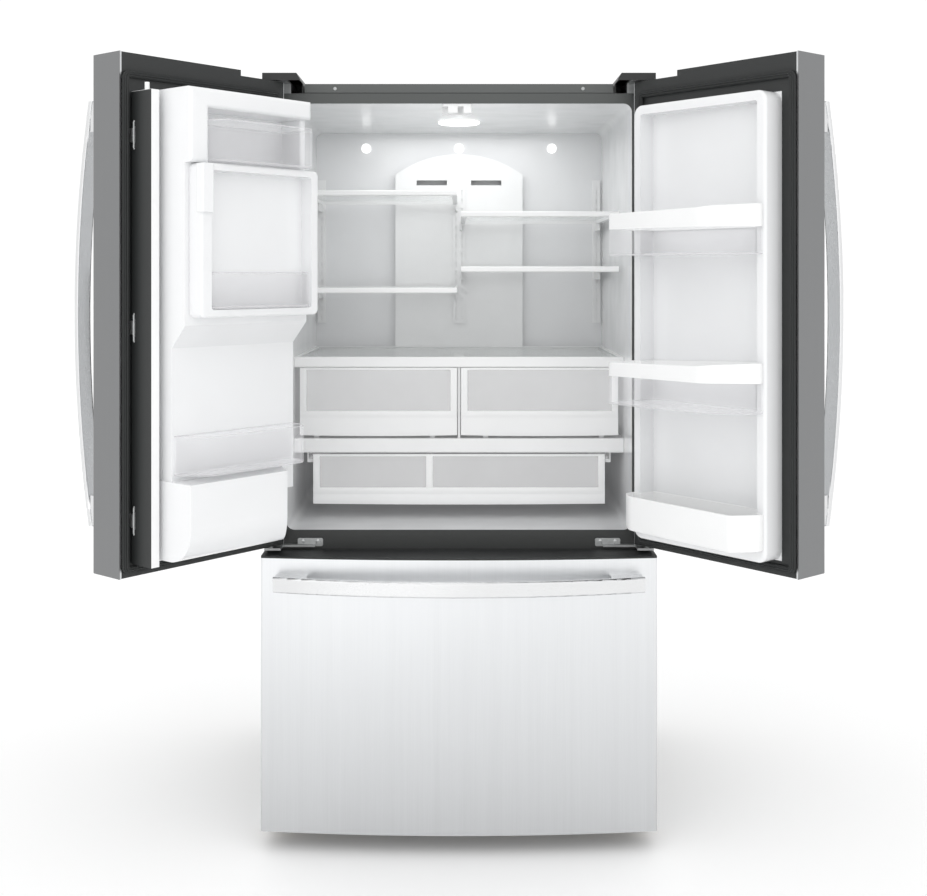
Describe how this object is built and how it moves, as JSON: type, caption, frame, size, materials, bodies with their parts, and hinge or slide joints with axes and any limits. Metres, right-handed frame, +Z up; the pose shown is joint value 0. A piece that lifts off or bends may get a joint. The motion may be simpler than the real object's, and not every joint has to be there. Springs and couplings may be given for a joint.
{
  "type": "french door refrigerator",
  "caption": "Tall refrigerator with two outward-opening bowed steel doors over a wide pull-out freezer drawer, shown with the doors open on white shelves, crispers and door bins.",
  "frame": {"origin": "on the floor at mid width, in the plane of the cabinet's front flange", "axes": "+X to the right seen from the front, +Y to the back, +Z up"},
  "size_m": [1.6574, 1.2161, 1.782],
  "materials": {
    "case_paint": "satin dark grey paint",
    "steel_skin": "brushed stainless",
    "handle_steel": "satin stainless",
    "charcoal": "matte charcoal",
    "black_plastic": "satin black",
    "gasket": "matte grey-black vinyl",
    "foam": "rigid insulation foam",
    "white_liner": "glossy white",
    "white_part": "satin white",
    "clear_plastic": "clear",
    "shelf_glass": "clear glass",
    "zinc": "zinc plated steel",
    "galvanised": "galvanised sheet",
    "black_metal": "black paint",
    "fins": "aluminium",
    "lens": "frosted lens"
  },
  "bodies": {
    "cabinet": {"case_wrapper": "case_paint", "back_panel": "galvanised", "base_frame": "galvanised", "cabinet_foam": "foam", "fresh_food_liner": "white_liner", "freezer_liner": "white_liner", "top_trim_strip": "black_plastic", "screws": "zinc", "hinge_covers": "black_plastic", "hinge_brackets": "zinc", "flap_guide": "white_part", "shelf_ladders": "white_part", "shelf_frames": "white_part", "shelf_glass": "shelf_glass", "deli_cover": "white_part", "air_duct_cover": "white_part", "light_lenses": "lens", "compressor": "black_metal", "condenser": "galvanised", "evaporator": "fins", "rear_connections": "white_part", "base_grille": "black_plastic", "levelling_feet": "black_plastic"},
    "left_door": {"left_door_skin": "steel_skin", "left_door_frame": "charcoal", "left_door_foam": "foam", "left_door_liner": "white_liner", "left_door_gasket": "gasket", "left_door_handle": "handle_steel", "left_door_bins": "clear_plastic", "ice_bucket": "clear_plastic", "ice_maker": "white_part", "flap_hinges": "zinc", "dispenser_recess": "black_plastic"},
    "flap": {"flap": "white_part"},
    "ice_door": {"ice_door": "white_liner", "ice_door_bin": "clear_plastic"},
    "ice_auger": {"ice_auger": "white_part"},
    "dispenser_paddle": {"dispenser_paddle": "black_plastic"},
    "right_door": {"right_door_skin": "steel_skin", "right_door_frame": "charcoal", "right_door_foam": "foam", "right_door_liner": "white_liner", "right_door_gasket": "gasket", "right_door_handle": "handle_steel", "right_door_bins": "clear_plastic", "right_door_trough": "white_part"},
    "right_crisper": {"right_crisper": "clear_plastic"},
    "left_crisper": {"left_crisper": "clear_plastic"},
    "deli_drawer": {"deli_drawer": "clear_plastic"},
    "freezer_drawer": {"freezer_drawer_skin": "steel_skin", "freezer_drawer_frame": "charcoal", "freezer_drawer_foam": "foam", "freezer_drawer_gasket": "gasket", "freezer_drawer_handle": "handle_steel", "freezer_bin": "white_part"},
    "upper_basket": {"upper_basket": "clear_plastic"},
    "condenser_fan": {"condenser_fan": "black_plastic"},
    "evaporator_fan": {"evaporator_fan": "white_part"},
    "rear_rollers": {"rear_rollers": "black_plastic"}
  },
  "joints": [
    {"name": "left_door_hinge", "type": "hinge", "parent": "cabinet", "child": "left_door", "pos_m": [-0.437, -0.0385, 0.69], "axis": [0, 0, -1], "range_deg": [-130, 0]},
    {"name": "right_door_hinge", "type": "hinge", "parent": "cabinet", "child": "right_door", "pos_m": [0.437, -0.0385, 0.69], "axis": [0, 0, 1], "range_deg": [-130, 0]},
    {"name": "flap_hinge", "type": "hinge", "parent": "left_door", "child": "flap", "pos_m": [-0.67041, -0.37656, 1.207], "axis": [0, 0, 1], "range_deg": [-90, 0]},
    {"name": "ice_door_hinge", "type": "hinge", "parent": "left_door", "child": "ice_door", "pos_m": [-0.33305, -0.17272, 1.383], "axis": [0, 0, 1], "range_deg": [0, 100]},
    {"name": "auger_spin", "type": "hinge", "parent": "left_door", "child": "ice_auger", "pos_m": [-0.39698, -0.16738, 1.291], "axis": [-0.6428, -0.766, 0], "continuous": true},
    {"name": "paddle_press", "type": "hinge", "parent": "left_door", "child": "dispenser_paddle", "pos_m": [-0.57164, -0.21141, 1.204], "axis": [-0.6428, -0.766, 0], "range_deg": [0, 6], "stiffness_Nm_per_rad": 1.2},
    {"name": "left_crisper_slide", "type": "slide", "parent": "cabinet", "child": "left_crisper", "axis": [0, -1, 0], "range_m": [0, 0.23]},
    {"name": "right_crisper_slide", "type": "slide", "parent": "cabinet", "child": "right_crisper", "axis": [0, -1, 0], "range_m": [0, 0.23]},
    {"name": "deli_drawer_slide", "type": "slide", "parent": "cabinet", "child": "deli_drawer", "axis": [0, -1, 0], "range_m": [0, 0.35]},
    {"name": "freezer_drawer_slide", "type": "slide", "parent": "cabinet", "child": "freezer_drawer", "axis": [0, -1, 0], "range_m": [0, 0.42]},
    {"name": "upper_basket_slide", "type": "slide", "parent": "cabinet", "child": "upper_basket", "axis": [0, -1, 0], "range_m": [0, 0.294]},
    {"name": "condenser_fan_spin", "type": "hinge", "parent": "cabinet", "child": "condenser_fan", "pos_m": [-0.086, 0.6225, 0.155], "axis": [1, 0, 0], "continuous": true},
    {"name": "evaporator_fan_spin", "type": "hinge", "parent": "cabinet", "child": "evaporator_fan", "pos_m": [0, 0.57, 0.55], "axis": [0, 1, 0], "continuous": true},
    {"name": "rear_roller_spin", "type": "hinge", "parent": "cabinet", "child": "rear_rollers", "pos_m": [0, 0.69, 0.021], "axis": [1, 0, 0], "continuous": true}
  ],
  "couplings": [
    {"joint": "upper_basket_slide", "follows": "freezer_drawer_slide", "ratio": 0.7}
  ]
}
